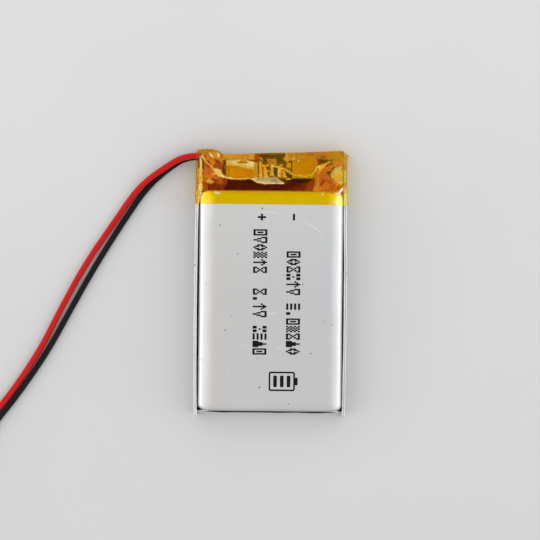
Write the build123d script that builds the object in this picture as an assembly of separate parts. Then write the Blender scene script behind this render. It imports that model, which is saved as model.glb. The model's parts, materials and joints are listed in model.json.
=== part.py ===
from build123d import *

import math
import os

# A lithium-ion pouch cell of the 6 x 25 x 40 mm format, lying on its back, with its protection board
# on the terrace under polyimide tape and two leads that leave at the head's left corner.
# Millimetres. +X is to the right seen from the front, +Y points to the head (the tab end) and +Z out of
# the front face. The origin is at the centre of the body's footprint, on the surface that it rests on.

# ---- Driving dimensions -----------------------------------------------------------------------------
cell_thickness = 6.0
overall_width = 25.0
half_length = 21.85  # from the origin to the side folds' tails, and to the tape's bunched corner

film = 0.15  # aluminium laminate
tape = 0.08  # outer polyimide tape with its adhesive
thin_tape = 0.06  # tape on the board, on the terrace and on the roll

cup_half_width = 11.55
cup_foot_y = -20.9
cup_head_y = 15.2
cup_edge_radius = 2.0  # where the front face turns into the walls
cup_corner_radius = 1.4  # upright corners

terrace_end_y = 18.8
fold_height = 4.7  # the side seals stand this high
fold_return_z = 1.0  # the folded-back outer layer ends here
tape_start_y = 12.9
tape_end_y = 21.4
tape_clearance = 0.02  # between the tape and the cup's face

tab_width = 4.0
tab_thickness = 0.1
tab_film = 0.05
positive_x = -4.9
negative_x = 5.45

board_x = (-7.6, 7.7)
board_y = (17.05, 20.0)
board_thickness = 0.6
plate_thickness = 0.15

lead_diameter = 0.98
conductor_diameter = 0.48
tinned_diameter = 0.52  # the bare end, dipped in tin
tinned_length = 4.0
tip_corner = 0.12  # past the insulation's end the bare tip turns a little
tip_turn = 3.0  # degrees
tip_bend_radius = 3.8

# ---- Levels and edges that follow from them ---------------------------------------------------------
back_z = tape
seal_z = back_z + film  # where the two halves of the laminate meet
flange_top_z = seal_z + film
front_z = back_z + cell_thickness
channel_height = tab_thickness + 2 * tab_film
terrace_top_z = flange_top_z + channel_height
board_bottom_z = terrace_top_z + thin_tape
board_top_z = board_bottom_z + board_thickness
plate_top_z = board_top_z + plate_thickness
band_top_z = front_z + tape_clearance + tape
tab_seal_z = seal_z + tab_film + tab_thickness / 2
tab_top_z = plate_top_z + tab_thickness / 2

tape_half_width = overall_width / 2
fold_outer_x = tape_half_width - tape
fold_core_outer_x = fold_outer_x - film
fold_core_inner_x = fold_core_outer_x - 2 * film
fold_inner_x = fold_core_inner_x - film


# ---- Helpers ----------------------------------------------------------------------------------------
def block(x, y, z):
    """A box between pairs of low and high coordinates."""
    size = (x[1] - x[0], y[1] - y[0], z[1] - z[0])
    centre = ((x[0] + x[1]) / 2, (y[0] + y[1]) / 2, (z[0] + z[1]) / 2)
    return Pos(*centre) * Box(*size)


def around(x, half):
    """The pair of coordinates on both sides of x."""
    return (x - half, x + half)


def prism_x(points, x):
    """An outline of (y, z) points, carried along X between a low and a high coordinate."""
    face = make_face(Polyline([Vector(x[0], y, z) for y, z in points], close=True))
    return extrude(face, amount=x[1] - x[0], dir=(1, 0, 0))


def prism_y(points, y):
    """An outline of (x, z) points, carried along Y between a low and a high coordinate."""
    face = make_face(Polyline([Vector(x, y[0], z) for x, z in points], close=True))
    return extrude(face, amount=y[1] - y[0], dir=(0, 1, 0))


def mitred_outline(path, thickness):
    """The closed outline of a strip of constant thickness along a 2D path."""
    headings = [math.atan2(b[1] - a[1], b[0] - a[0]) for a, b in zip(path, path[1:])]
    sides = ([], [])
    for i, (u, v) in enumerate(path):
        before = headings[max(i - 1, 0)]
        after = headings[min(i, len(headings) - 1)]
        half_turn = (after - before) / 2
        reach = thickness / 2 / math.cos(half_turn)
        normal = before + half_turn + math.pi / 2
        for side, sign in zip(sides, (1, -1)):
            side.append((u + sign * reach * math.cos(normal), v + sign * reach * math.sin(normal)))
    return sides[0] + sides[1][::-1]


def mirrored(solid):
    return mirror(solid, about=Plane.YZ)


# ---- Pouch: one sheet of laminate folded at the foot, as its two halves --------------------------------
def cup_block(inset):
    """The drawn cup's rounded block, moved in by inset on every side but the open back."""
    body = block(
        around(0, cup_half_width - inset),
        (cup_foot_y + inset, cup_head_y - inset),
        (seal_z, front_z - inset),
    )
    uprights = body.edges().filter_by(Axis.Z)
    body = fillet(uprights, cup_corner_radius - inset)
    front_edges = body.faces().sort_by(Axis.Z)[-1].edges()
    return fillet(front_edges, cup_edge_radius - inset)


def side_fold():
    """The right side seal of the cup half: out along the back, up, and folded back over itself."""
    outline = [
        (cup_half_width - film, seal_z),
        (fold_core_inner_x, seal_z),
        (fold_core_inner_x, fold_height - film),
        (fold_core_outer_x, fold_height - film),
        (fold_core_outer_x, fold_return_z),
        (fold_outer_x, fold_return_z),
        (fold_outer_x, fold_height),
        (fold_inner_x, fold_height),
        (fold_inner_x, flange_top_z),
        (cup_half_width - film, flange_top_z),
    ]
    return prism_y(outline, (-half_length, terrace_end_y)) - fold_trim()


def fold_trim():
    """What is cut from both folds beside the terrace, so that the tape can slope down there."""
    low_z = 2.6
    outline = [(14.4, fold_height + 0.05), (16.9, low_z), (20.0, low_z), (20.0, fold_height + 0.05)]
    return prism_x(outline, (-tape_half_width, tape_half_width))


def foot_gusset():
    """The spare corner of laminate, pressed flat against the foot beside the right fold."""
    gusset_reach = 3.6
    gusset_height = 4.4
    outline = [
        (cup_half_width + 0.35, cup_foot_y + film / 2),
        (cup_half_width + 0.35, cup_foot_y - 0.55),
        (cup_half_width + 0.35 - gusset_reach, cup_foot_y + film / 2),
    ]
    face = make_face(Polyline([Vector(x, y, seal_z) for x, y in outline], close=True))
    return extrude(face, amount=gusset_height - seal_z, dir=(0, 0, 1))


def make_pouch_cup():
    shell = cup_block(0) + side_fold() + mirrored(side_fold()) + foot_gusset() + mirrored(foot_gusset())
    shell += block(around(0, fold_inner_x), (cup_head_y - film, terrace_end_y), (seal_z, flange_top_z))
    channel_z = (seal_z, seal_z + channel_height)
    half = tab_width / 2 + 1.0
    for x in (positive_x, negative_x):
        ridge_z = (seal_z, terrace_top_z)
        shell += block(around(x, half + film), (cup_head_y - film, terrace_end_y), ridge_z)
    shell -= cup_block(film)
    for x in (positive_x, negative_x):
        shell -= block(around(x, half), (cup_head_y - 0.5, terrace_end_y + 1), channel_z)
    return shell


def make_pouch_back():
    """Flat, with the tape's turn round the head let into it, and hollow where the roll lies."""
    x = around(0, fold_core_outer_x)
    body_end_y = tape_start_y - 0.05
    rim = 0.4
    sheet = block(x, (cup_foot_y - 0.1, terrace_end_y), (back_z, seal_z))
    sheet += block(x, (cup_foot_y - 0.1, body_end_y), (0, seal_z))
    hollow_y = (cup_foot_y + rim, body_end_y - rim)
    sheet -= block(around(0, cup_half_width - rim), hollow_y, (film, seal_z))
    core_x = (fold_core_inner_x, fold_core_outer_x)
    fold = block(core_x, (-half_length, terrace_end_y), (back_z, fold_height - film))
    return sheet + (fold + mirrored(fold) - fold_trim())


# ---- Electrode roll: four sheets wound flat together ----------------------------------------------------
roll_half_width = 11.2
roll_y = (-19.3, 12.9)
roll_core_radius = 0.22
roll_pitch = 0.5
roll_half_turns = 9
roll_centre_z = 3.08
roll_outer_radius = roll_core_radius + (roll_half_turns - 1) * roll_pitch / 2 + roll_pitch
roll_bend_x = roll_half_width - roll_outer_radius

# Each sheet's distance from the roll's inner face, and its thickness.
roll_sheets = {
    "anode_sheet": (0.0, 0.18),
    "inner_separator": (0.2, 0.03),
    "cathode_sheet": (0.25, 0.16),
    "outer_separator": (0.43, 0.03),
}


def winding(offset):
    """The points of a flat spiral: (start, middle, end) of every half turn, in (x, z)."""
    arcs = []
    for k in range(roll_half_turns):
        side = 1 if k % 2 == 0 else -1
        centre_z = roll_centre_z - (0 if k % 2 == 0 else roll_pitch / 2)
        radius = roll_core_radius + k * roll_pitch / 2 + offset
        x = side * roll_bend_x
        start = (x, centre_z - side * radius)
        arcs.append((start, (x + side * radius, centre_z), (x, centre_z + side * radius)))
    return arcs


def wound_sheet(offset, thickness):
    def at(point):
        return Vector(point[0], roll_y[0], point[1])

    edges = []
    ends = []
    for arcs in (winding(offset), winding(offset + thickness)):
        first = (0, arcs[0][0][1])
        last = (0, arcs[-1][2][1])
        edges.append(Line(at(first), at(arcs[0][0])))
        for i, (start, middle, end) in enumerate(arcs):
            edges.append(ThreePointArc(at(start), at(middle), at(end)))
            following = arcs[i + 1][0] if i + 1 < len(arcs) else last
            edges.append(Line(at(end), at(following)))
        ends.append((first, last))
    for inner, outer in zip(*ends):
        edges.append(Line(at(inner), at(outer)))
    face = make_face(edges)
    return extrude(face, amount=roll_y[1] - roll_y[0], dir=(0, 1, 0))


def make_roll_end_tape():
    """A strip stuck over the last edge of the winding, on the roll's front."""
    last_z = max(point[1] for arc in winding(roll_pitch) for point in arc)
    return block((-4.5, 4.5), (-16.0, 9.5), (last_z, last_z + thin_tape))


# ---- Tabs, their sealing films and the board's plates ------------------------------------------------------
def make_tab(x, fold_y):
    """From the roll's core, down to the seal, out under the board and back over its plate."""
    path = [
        (-4.0, roll_centre_z - roll_pitch / 4),
        (13.4, roll_centre_z - roll_pitch / 4),
        (14.5, 2.2),
        (14.5, tab_seal_z),
        (fold_y, tab_seal_z),
        (fold_y, tab_top_z),
        (17.6, tab_top_z),
    ]
    return prism_x(mitred_outline(path, tab_thickness), around(x, tab_width / 2))


def make_tab_film(x):
    sleeve_z = (seal_z, seal_z + channel_height)
    sleeve = block(around(x, tab_width / 2 + 1.0), (cup_head_y - 0.3, terrace_end_y + 0.7), sleeve_z)
    tab_z = around(tab_seal_z, tab_thickness / 2)
    return sleeve - block(around(x, tab_width / 2), (cup_head_y - 1, terrace_end_y + 2), tab_z)


# ---- Protection board -----------------------------------------------------------------------------------
chip_x = 0.45
chip_y = 18.525
chip_body = (1.6, 2.9)
chip_height = 1.1
chip_standoff = 0.08
part_column_x = 2.75
resistor_y = (17.15, 18.75)
resistor_height = 0.45
capacitor_x = -1.7
capacitor_y = (17.35, 18.35)
capacitor_height = 0.5
end_cap = 0.25


def make_chip_leads():
    """Six gull-wing leads, three on each side of the chip."""
    lead_thickness = 0.12
    foot_z = board_top_z + lead_thickness / 2
    shoulder_z = board_top_z + 0.6
    leads = []
    for row in (-1, 0, 1):
        lead_y = around(chip_y + 0.95 * row, 0.2)
        for side in (1, -1):
            reach = chip_body[0] / 2
            path = [
                (chip_x + side * reach, shoulder_z),
                (chip_x + side * (reach + 0.22), shoulder_z),
                (chip_x + side * (reach + 0.22), foot_z),
                (chip_x + side * (reach + 0.6), foot_z),
            ]
            leads.append(prism_y(mitred_outline(path, lead_thickness), lead_y))
    return leads


def make_chip():
    low = board_top_z + chip_standoff
    high = board_top_z + chip_height
    body = block(around(chip_x, chip_body[0] / 2), around(chip_y, chip_body[1] / 2), (low, high))
    return chamfer(body.faces().sort_by(Axis.Z)[-1].edges(), 0.12)


resistor_x = around(part_column_x, 0.4)
resistor_z = (board_top_z, board_top_z + resistor_height)
capacitor_sides = around(capacitor_x, 0.25)
capacitor_z = (board_top_z, board_top_z + capacitor_height)


def between_caps(y):
    return (y[0] + end_cap, y[1] - end_cap)


def make_end_caps():
    caps = []
    for x, y, z in ((resistor_x, resistor_y, resistor_z), (capacitor_sides, capacitor_y, capacitor_z)):
        caps.append(block(x, (y[0], y[0] + end_cap), z))
        caps.append(block(x, (y[1] - end_cap, y[1]), z))
    return caps


# ---- Leads ------------------------------------------------------------------------------------------------
# Each route starts beside the board, leaves the tape at the head's left corner and comes down to the surface.
floor_z = 0.53
red_route = [
    (-2.0, 20.66, 2.08),
    (-7.6, 20.7, 2.09),
    (-14.2, 21.15, 1.98),
    (-18.3, 18.5, 1.55),
    (-20.7, 16.7, 1.35),
    (-22.8, 14.6, floor_z),
    (-26.0, 9.8, floor_z),
    (-30.5, 3.2, floor_z),
    (-34.7, -4.6, floor_z),
    (-38.0, -11.4, floor_z),
    (-43.1, -19.1, floor_z),
    (-47.9, -24.8, floor_z),
    (-50.6, -30.6, floor_z),
    (-51.4, -37.4, floor_z),
]
black_route = [
    (1.9, 20.66, 1.08),
    (-3.6, 20.73, 0.95),
    (-9.2, 20.7, 0.95),
    (-14.1, 20.85, 0.87),
    (-17.8, 18.3, floor_z),
    (-21.0, 15.2, floor_z),
    (-24.2, 10.4, floor_z),
    (-28.6, 3.4, floor_z),
    (-33.1, -4.7, floor_z),
    (-36.8, -11.7, floor_z),
    (-41.9, -19.2, floor_z),
    (-46.4, -24.8, floor_z),
    (-48.6, -31.3, floor_z),
    (-49.0, -38.4, floor_z),
]
red_pad = (-1.7, 19.6, board_top_z + 0.3)
black_pad = (2.75, 19.45, board_top_z + 0.3)
pad_bend = 0.45  # the bare conductor's bend at its pad
pad_run = 0.75  # from the insulation's end to that bend


def corner_radii(points):
    """Each corner's arc is as large as its two runs allow."""
    radii = []
    for a, b, c in zip(points, points[1:], points[2:]):
        a, b, c = Vector(*a), Vector(*b), Vector(*c)
        turn = math.radians((b - a).get_angle(c - b))
        radii.append(0.45 * min((b - a).length, (c - b).length) / math.tan(turn / 2))
    return radii


def along(start, end, distance):
    """The point at a distance past end, on the line from start."""
    start, end = Vector(*start), Vector(*end)
    step = (end - start).normalized() * distance
    return tuple(end + step)


def round_bar(points, radii, diameter):
    path = FilletPolyline(*points, radius=radii)
    section = Plane(path @ 0, z_dir=path % 0) * Circle(diameter / 2)
    return sweep(section, path=path), path.length


def make_lead(name, route, pad):
    radii = corner_radii(route)
    jacket, length = round_bar(route, radii, lead_diameter)
    bore, _ = round_bar(route, radii, conductor_diameter)
    insulation = jacket - bore
    bend = along(route[1], route[0], pad_run)
    corner = Vector(*along(route[-2], route[-1], tip_corner))
    tip_axis = (corner - Vector(*route[-1])).normalized().rotate(Axis.Z, tip_turn)
    tip = corner + tip_axis * (tinned_length - tip_corner)
    core_route = [pad, bend] + route[1:-1] + [tuple(corner), tuple(tip)]
    core_radii = [pad_bend] + radii + [tip_bend_radius]
    conductor, core_length = round_bar(core_route, core_radii, conductor_diameter)
    tin_start = corner + tip_axis * 0.05
    tin_section = Plane(tin_start, z_dir=tip_axis) * Circle(tinned_diameter / 2)
    tin = extrude(tin_section, amount=(tip - tin_start).length)
    ring = math.pi / 4 * (lead_diameter**2 - conductor_diameter**2) * length
    rod = math.pi / 4 * conductor_diameter**2 * core_length
    print(name, "radii", [round(r, 1) for r in radii])
    print(name, "length", round(length, 2), "volume", round(insulation.volume, 3), "of", round(ring, 3))
    print(name, "core", round(core_length, 2), "volume", round(conductor.volume, 3), "of", round(rod, 3))
    return insulation, conductor + tin


def make_solder(pad, half_width, conductor):
    """A mound of solder from the board's face up and over the conductor's end."""
    mound = block(around(pad[0], half_width), around(pad[1], 0.5), (board_top_z, board_top_z + 0.62))
    upper_edges = mound.faces().sort_by(Axis.Z)[-1].edges()
    return chamfer(upper_edges, 0.15) - conductor


# ---- Tapes ------------------------------------------------------------------------------------------------
ceiling_z = 2.72  # the outer tape's inner face over the board
band_side_z = 4.85  # the tape's upright sides end here, above the folds
band_flat_x = 10.9  # and slope in to here, on the cup's face
pocket_x = -8.3  # the bunched corner reaches from the left side to here
board_tape_x = (-8.1, 10.6)


def make_board_tape():
    """A strip laid over the board's parts and down its outer edge."""
    outer_y = tape_end_y - tape
    top_z = ceiling_z - 0.04
    cover = block(board_tape_x, (16.7, outer_y), (top_z - thin_tape, top_z))
    return cover + block(board_tape_x, (outer_y - thin_tape, outer_y), (0.3, top_z))


def head_profile(start_y, end_y):
    """The outer tape's side view: over the cup's shoulder, down to the board and round the outer edge."""
    shoulder_y = cup_head_y - cup_edge_radius
    shoulder_z = front_z - cup_edge_radius
    top = band_top_z
    reach = top - shoulder_z
    slant = reach * math.sqrt(0.5)

    def at(y, z):
        return Vector(-tape_half_width, y, z)

    foot = at(shoulder_y + reach, shoulder_z)
    outline = [
        Polyline(at(start_y, 0), at(start_y, top), at(shoulder_y, top)),
        ThreePointArc(at(shoulder_y, top), at(shoulder_y + slant, shoulder_z + slant), foot),
        Polyline(
            foot,
            at(17.2, ceiling_z + tape),
            at(end_y, ceiling_z + tape),
            at(end_y, 0),
            at(start_y, 0),
        ),
    ]
    return make_face(outline)


def head_cross_section(inset):
    """The outer tape's end view: up the folds, across to the cup's face, and back."""
    slope = math.atan2(band_top_z - band_side_z, tape_half_width - band_flat_x)
    drop = inset * math.tan((math.pi / 2 - slope) / 2)
    shift = inset * math.tan(slope / 2)
    side = tape_half_width - inset
    top = band_top_z - inset
    corners = [(side, inset), (side, band_side_z - drop), (band_flat_x - shift, top)]
    return corners + [(-x, z) for x, z in reversed(corners)]


def head_solid(start_y, end_y, x, inset):
    profile = head_profile(start_y, end_y)
    if inset:
        profile = offset(profile, amount=-inset, kind=Kind.INTERSECTION)
    long_block = extrude(profile, amount=overall_width, dir=(1, 0, 0))
    across = prism_y(head_cross_section(inset), (start_y - 1, end_y + 1))
    return long_block & across & block(x, (start_y - 1, end_y + 1), (-1, front_z + 1))


def make_band_tape():
    whole_x = (-tape_half_width, tape_half_width)
    corner_x = (-tape_half_width, pocket_x)
    outside = head_solid(tape_start_y, tape_end_y, whole_x, 0)
    outside += head_solid(tape_start_y, half_length, corner_x, 0)
    inside = head_solid(tape_start_y - 1, tape_end_y, whole_x, tape)
    inside += head_solid(tape_start_y - 1, half_length, (corner_x[0], corner_x[1] - tape), tape)
    lead_exit = block((-tape_half_width - 1, -fold_outer_x + tape), (19.6, 21.62), (0.25, 2.65))
    return outside - inside - lead_exit


# ---- Assembly ---------------------------------------------------------------------------------------------
nodes = {"pouch_cup": make_pouch_cup(), "pouch_back_sheet": make_pouch_back()}
for name, (sheet_offset, thickness) in roll_sheets.items():
    nodes[name] = wound_sheet(sheet_offset, thickness)
nodes["roll_end_tape"] = make_roll_end_tape()

nodes["positive_tab"] = make_tab(positive_x, 20.07)
nodes["negative_tab"] = make_tab(negative_x, 21.1)
nodes["positive_tab_film"] = make_tab_film(positive_x)
nodes["negative_tab_film"] = make_tab_film(negative_x)
nodes["terrace_insulator"] = block(
    around(0, 10.5), (cup_head_y + 0.05, terrace_end_y - 0.1), (terrace_top_z, board_bottom_z)
)

nodes["circuit_board"] = block(board_x, board_y, (board_bottom_z, board_top_z))
plate_z = (board_top_z, plate_top_z)
nodes["positive_nickel_plate"] = block((-7.55, -2.3), (17.2, 19.95), plate_z)
nodes["negative_nickel_plate"] = block((3.4, 7.5), (17.4, 19.95), plate_z)
nodes["protection_chip"] = make_chip()
nodes["chip_leads"] = make_chip_leads()
nodes["filter_resistor"] = block(resistor_x, between_caps(resistor_y), resistor_z)
nodes["filter_capacitor"] = block(capacitor_sides, between_caps(capacitor_y), capacitor_z)
nodes["component_end_caps"] = make_end_caps()

red_insulation, red_conductor = make_lead("red lead", red_route, red_pad)
black_insulation, black_conductor = make_lead("black lead", black_route, black_pad)
nodes["red_lead_insulation"] = red_insulation
nodes["red_lead_conductor"] = red_conductor
nodes["black_lead_insulation"] = black_insulation
nodes["black_lead_conductor"] = black_conductor
nodes["red_solder_joint"] = make_solder(red_pad, 0.38, red_conductor)
nodes["black_solder_joint"] = make_solder(black_pad, 0.38, black_conductor)
nodes["board_tape"] = make_board_tape()
nodes["band_tape"] = make_band_tape()

os.makedirs("parts", exist_ok=True)
for name, shape in nodes.items():
    solids = shape if isinstance(shape, list) else [shape]
    whole = Compound(children=[solid for piece in solids for solid in piece.solids()])
    export_step(whole if len(whole.solids()) > 1 else whole.solids()[0], f"parts/{name}.step")
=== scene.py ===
"""A pouch battery cell with a taped protection board and two leads, seen from straight above."""

import json
import math

import bmesh
import bpy
from mathutils import Vector, geometry, noise
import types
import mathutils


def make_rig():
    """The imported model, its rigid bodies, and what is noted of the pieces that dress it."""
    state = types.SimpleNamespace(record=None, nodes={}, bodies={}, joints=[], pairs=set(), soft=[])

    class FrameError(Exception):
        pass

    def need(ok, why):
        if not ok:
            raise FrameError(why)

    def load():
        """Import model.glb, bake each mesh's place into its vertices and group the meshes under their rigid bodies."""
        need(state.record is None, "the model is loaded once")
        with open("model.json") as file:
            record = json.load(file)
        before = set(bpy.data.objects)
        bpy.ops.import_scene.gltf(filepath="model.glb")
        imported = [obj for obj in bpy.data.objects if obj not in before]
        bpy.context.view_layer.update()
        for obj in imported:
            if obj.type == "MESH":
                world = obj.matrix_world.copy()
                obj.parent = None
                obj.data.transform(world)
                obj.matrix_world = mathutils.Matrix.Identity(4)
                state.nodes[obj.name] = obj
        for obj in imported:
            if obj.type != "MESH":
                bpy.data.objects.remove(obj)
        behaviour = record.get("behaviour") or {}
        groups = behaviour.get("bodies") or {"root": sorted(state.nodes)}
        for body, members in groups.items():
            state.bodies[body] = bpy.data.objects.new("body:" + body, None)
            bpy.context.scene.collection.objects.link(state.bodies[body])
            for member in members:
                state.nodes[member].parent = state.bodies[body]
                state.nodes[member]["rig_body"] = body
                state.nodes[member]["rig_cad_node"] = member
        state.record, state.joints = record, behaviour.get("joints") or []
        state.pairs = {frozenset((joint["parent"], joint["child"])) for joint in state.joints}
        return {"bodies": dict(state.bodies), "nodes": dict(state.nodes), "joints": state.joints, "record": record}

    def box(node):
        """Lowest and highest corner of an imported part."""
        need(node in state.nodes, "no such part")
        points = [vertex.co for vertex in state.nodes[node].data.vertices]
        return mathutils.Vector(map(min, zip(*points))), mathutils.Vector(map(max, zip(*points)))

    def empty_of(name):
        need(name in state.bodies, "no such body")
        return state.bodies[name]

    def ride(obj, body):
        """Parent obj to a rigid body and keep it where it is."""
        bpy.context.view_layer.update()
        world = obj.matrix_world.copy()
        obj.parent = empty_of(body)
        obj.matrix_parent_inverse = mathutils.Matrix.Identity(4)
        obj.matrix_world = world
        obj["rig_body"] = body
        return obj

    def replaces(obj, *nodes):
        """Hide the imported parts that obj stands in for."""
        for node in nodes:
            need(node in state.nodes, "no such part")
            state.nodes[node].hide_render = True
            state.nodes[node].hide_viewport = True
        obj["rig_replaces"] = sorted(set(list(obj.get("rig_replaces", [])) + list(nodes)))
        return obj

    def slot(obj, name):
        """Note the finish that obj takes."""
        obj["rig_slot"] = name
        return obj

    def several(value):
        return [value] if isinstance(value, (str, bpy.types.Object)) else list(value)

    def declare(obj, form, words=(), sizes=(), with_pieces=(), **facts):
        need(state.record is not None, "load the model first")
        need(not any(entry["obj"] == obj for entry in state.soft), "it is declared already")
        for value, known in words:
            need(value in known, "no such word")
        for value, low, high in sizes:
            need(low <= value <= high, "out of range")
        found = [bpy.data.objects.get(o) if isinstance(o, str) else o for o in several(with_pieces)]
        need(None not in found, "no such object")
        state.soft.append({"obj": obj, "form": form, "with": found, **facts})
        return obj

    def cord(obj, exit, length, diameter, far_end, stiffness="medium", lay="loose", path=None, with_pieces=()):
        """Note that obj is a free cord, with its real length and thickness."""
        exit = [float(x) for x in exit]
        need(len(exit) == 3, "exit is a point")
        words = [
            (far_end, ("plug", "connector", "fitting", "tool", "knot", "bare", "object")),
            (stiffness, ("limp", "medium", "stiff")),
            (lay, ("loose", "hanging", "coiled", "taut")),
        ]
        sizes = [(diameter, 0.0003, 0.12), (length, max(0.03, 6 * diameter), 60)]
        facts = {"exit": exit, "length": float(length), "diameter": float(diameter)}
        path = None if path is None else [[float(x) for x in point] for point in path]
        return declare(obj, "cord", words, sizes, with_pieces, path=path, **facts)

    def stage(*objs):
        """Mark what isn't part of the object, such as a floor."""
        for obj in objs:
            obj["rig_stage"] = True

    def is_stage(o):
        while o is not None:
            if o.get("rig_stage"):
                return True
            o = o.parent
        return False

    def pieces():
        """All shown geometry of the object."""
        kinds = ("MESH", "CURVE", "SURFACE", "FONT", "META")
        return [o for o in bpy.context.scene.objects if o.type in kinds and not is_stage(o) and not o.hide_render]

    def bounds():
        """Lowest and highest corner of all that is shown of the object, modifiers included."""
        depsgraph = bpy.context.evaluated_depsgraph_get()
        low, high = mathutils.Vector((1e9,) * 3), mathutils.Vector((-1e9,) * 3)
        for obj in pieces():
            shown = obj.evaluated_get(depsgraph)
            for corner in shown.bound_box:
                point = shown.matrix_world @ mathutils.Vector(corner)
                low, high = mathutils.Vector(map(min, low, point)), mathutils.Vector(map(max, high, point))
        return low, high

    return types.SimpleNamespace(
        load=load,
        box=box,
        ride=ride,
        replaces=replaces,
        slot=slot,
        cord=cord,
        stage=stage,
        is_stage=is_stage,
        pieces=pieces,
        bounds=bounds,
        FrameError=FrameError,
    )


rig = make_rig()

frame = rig.load()
cad_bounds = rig.bounds()

MM = 0.001
ROOT = "root"


# ---- Sizes, in millimetres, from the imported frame
def box_mm(node):
    low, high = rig.box(node)
    return low / MM, high / MM


cup_low, cup_high = box_mm("pouch_cup")
band_low, band_high = box_mm("band_tape")

FRONT_Z = cup_high.z
SEAL_Z = cup_low.z
FOLD_OUTER_X = cup_high.x
FOLD_TAIL_Y = cup_low.y
TERRACE_END_Y = cup_high.y
TAPE_START_Y = band_low.y
TAPE_SIDE_X = band_high.x
CUP_HALF_X = FOLD_OUTER_X - 0.87  # the wall, inside a side fold
CUP_FOOT_Y = FOLD_TAIL_Y + 0.95
CUP_HEAD_Y = TERRACE_END_Y - 3.6  # the wall, behind the terrace
FOLD_TOP_Z = FRONT_Z - 1.38
LEAD_DIAMETER = 0.98
TIN_LENGTH = 4.0
FLOOR_Z = 0.53  # a lead's centreline where it lies on the table


def add_object(name, data):
    made = bpy.data.objects.new(name, data)
    bpy.context.scene.collection.objects.link(made)
    return made


# ---- Camera
def make_camera():
    """Straight down from 350 mm with a long lens, turned half a degree as the cell lies."""
    camera_data = bpy.data.cameras.new("camera")
    camera_data.sensor_width = 36
    camera_data.lens = 140.6
    camera_data.clip_start = 0.01
    camera_data.clip_end = 10
    camera = add_object("camera", camera_data)
    camera.location = (-0.10 * MM, 2.2 * MM, 350 * MM)
    camera.rotation_euler = (0, 0, math.radians(0.57))
    bpy.context.scene.camera = camera


# ---- Node materials
class Nodes:
    """A node tree, with short calls that add nodes and feed their sockets."""

    def __init__(self, tree, coordinates):
        self.tree = tree
        self.place = self.node("ShaderNodeTexCoord").outputs[coordinates]

    def node(self, kind, **settings):
        made = self.tree.nodes.new(kind)
        for name, value in settings.items():
            setattr(made, name, value)
        return made

    def feed(self, socket, value):
        """Links a socket to an output, or gives it a number or a colour."""
        if isinstance(value, bpy.types.NodeSocket):
            self.tree.links.new(value, socket)
        else:
            socket.default_value = (*value, 1) if isinstance(value, tuple) else value

    def set(self, made, **values):
        for name, value in values.items():
            self.feed(made.inputs[name.replace("_", " ")], value)
        return made

    def maths(self, operation, *values):
        made = self.node("ShaderNodeMath", operation=operation)
        for socket, value in zip(made.inputs, values):
            self.feed(socket, value)
        return made.outputs[0]

    def axis(self, name):
        made = self.node("ShaderNodeSeparateXYZ")
        self.feed(made.inputs[0], self.place)
        return made.outputs[name]


class Shader(Nodes):
    """A material with a Principled shader, and the textures and colours that feed it."""

    def __init__(self, name, **values):
        self.material = bpy.data.materials.new(name)
        self.material.use_nodes = True
        super().__init__(self.material.node_tree, "Object")
        self.surface = self.tree.nodes["Principled BSDF"]
        self.set(self.surface, **values)

    def scaled(self, cycles):
        """Object coordinates, in cycles per millimetre: one number, or one for each axis."""
        mapping = self.set(self.node("ShaderNodeMapping"), Vector=self.place)
        x, y, z = cycles if isinstance(cycles, tuple) else (cycles, cycles, cycles)
        mapping.inputs["Scale"].default_value = (x / MM, y / MM, z / MM)
        return mapping.outputs["Vector"]

    def noise(self, cycles, detail=3.0, roughness=0.5):
        made = self.node("ShaderNodeTexNoise")
        self.set(made, Vector=self.scaled(cycles), Scale=1.0, Detail=detail, Roughness=roughness)
        return made.outputs["Fac"]

    def cells(self, vector, **settings):
        return self.set(self.node("ShaderNodeTexVoronoi", **settings), Vector=vector, Scale=1.0).outputs

    def spots(self, cycles):
        return self.cells(self.scaled(cycles))["Distance"]

    def ramp(self, fac, *stops):
        """A colour ramp with (position, colour) stops; a colour may be one grey number."""
        made = self.set(self.node("ShaderNodeValToRGB"), Fac=fac)
        elements = made.color_ramp.elements
        while len(elements) < len(stops):
            elements.new(0.5)
        for element, (position, colour) in zip(elements, stops):
            element.position = position
            element.color = (*colour, 1) if isinstance(colour, tuple) else (colour, colour, colour, 1)
        return made.outputs["Color"]

    def mix(self, fac, first, second, blend="MIX"):
        made = self.node("ShaderNodeMix", data_type="RGBA", blend_type=blend)
        for index, value in ((0, fac), (6, first), (7, second)):
            self.feed(made.inputs[index], value)
        return made.outputs[2]

    def bump(self, height, distance, strength=0.5):
        made = self.set(self.node("ShaderNodeBump"), Height=height, Distance=distance * MM, Strength=strength)
        self.set(self.surface, Normal=made.outputs["Normal"])

    def finish(self, colour, roughness):
        self.set(self.surface, Base_Color=colour, Roughness=roughness)


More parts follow.
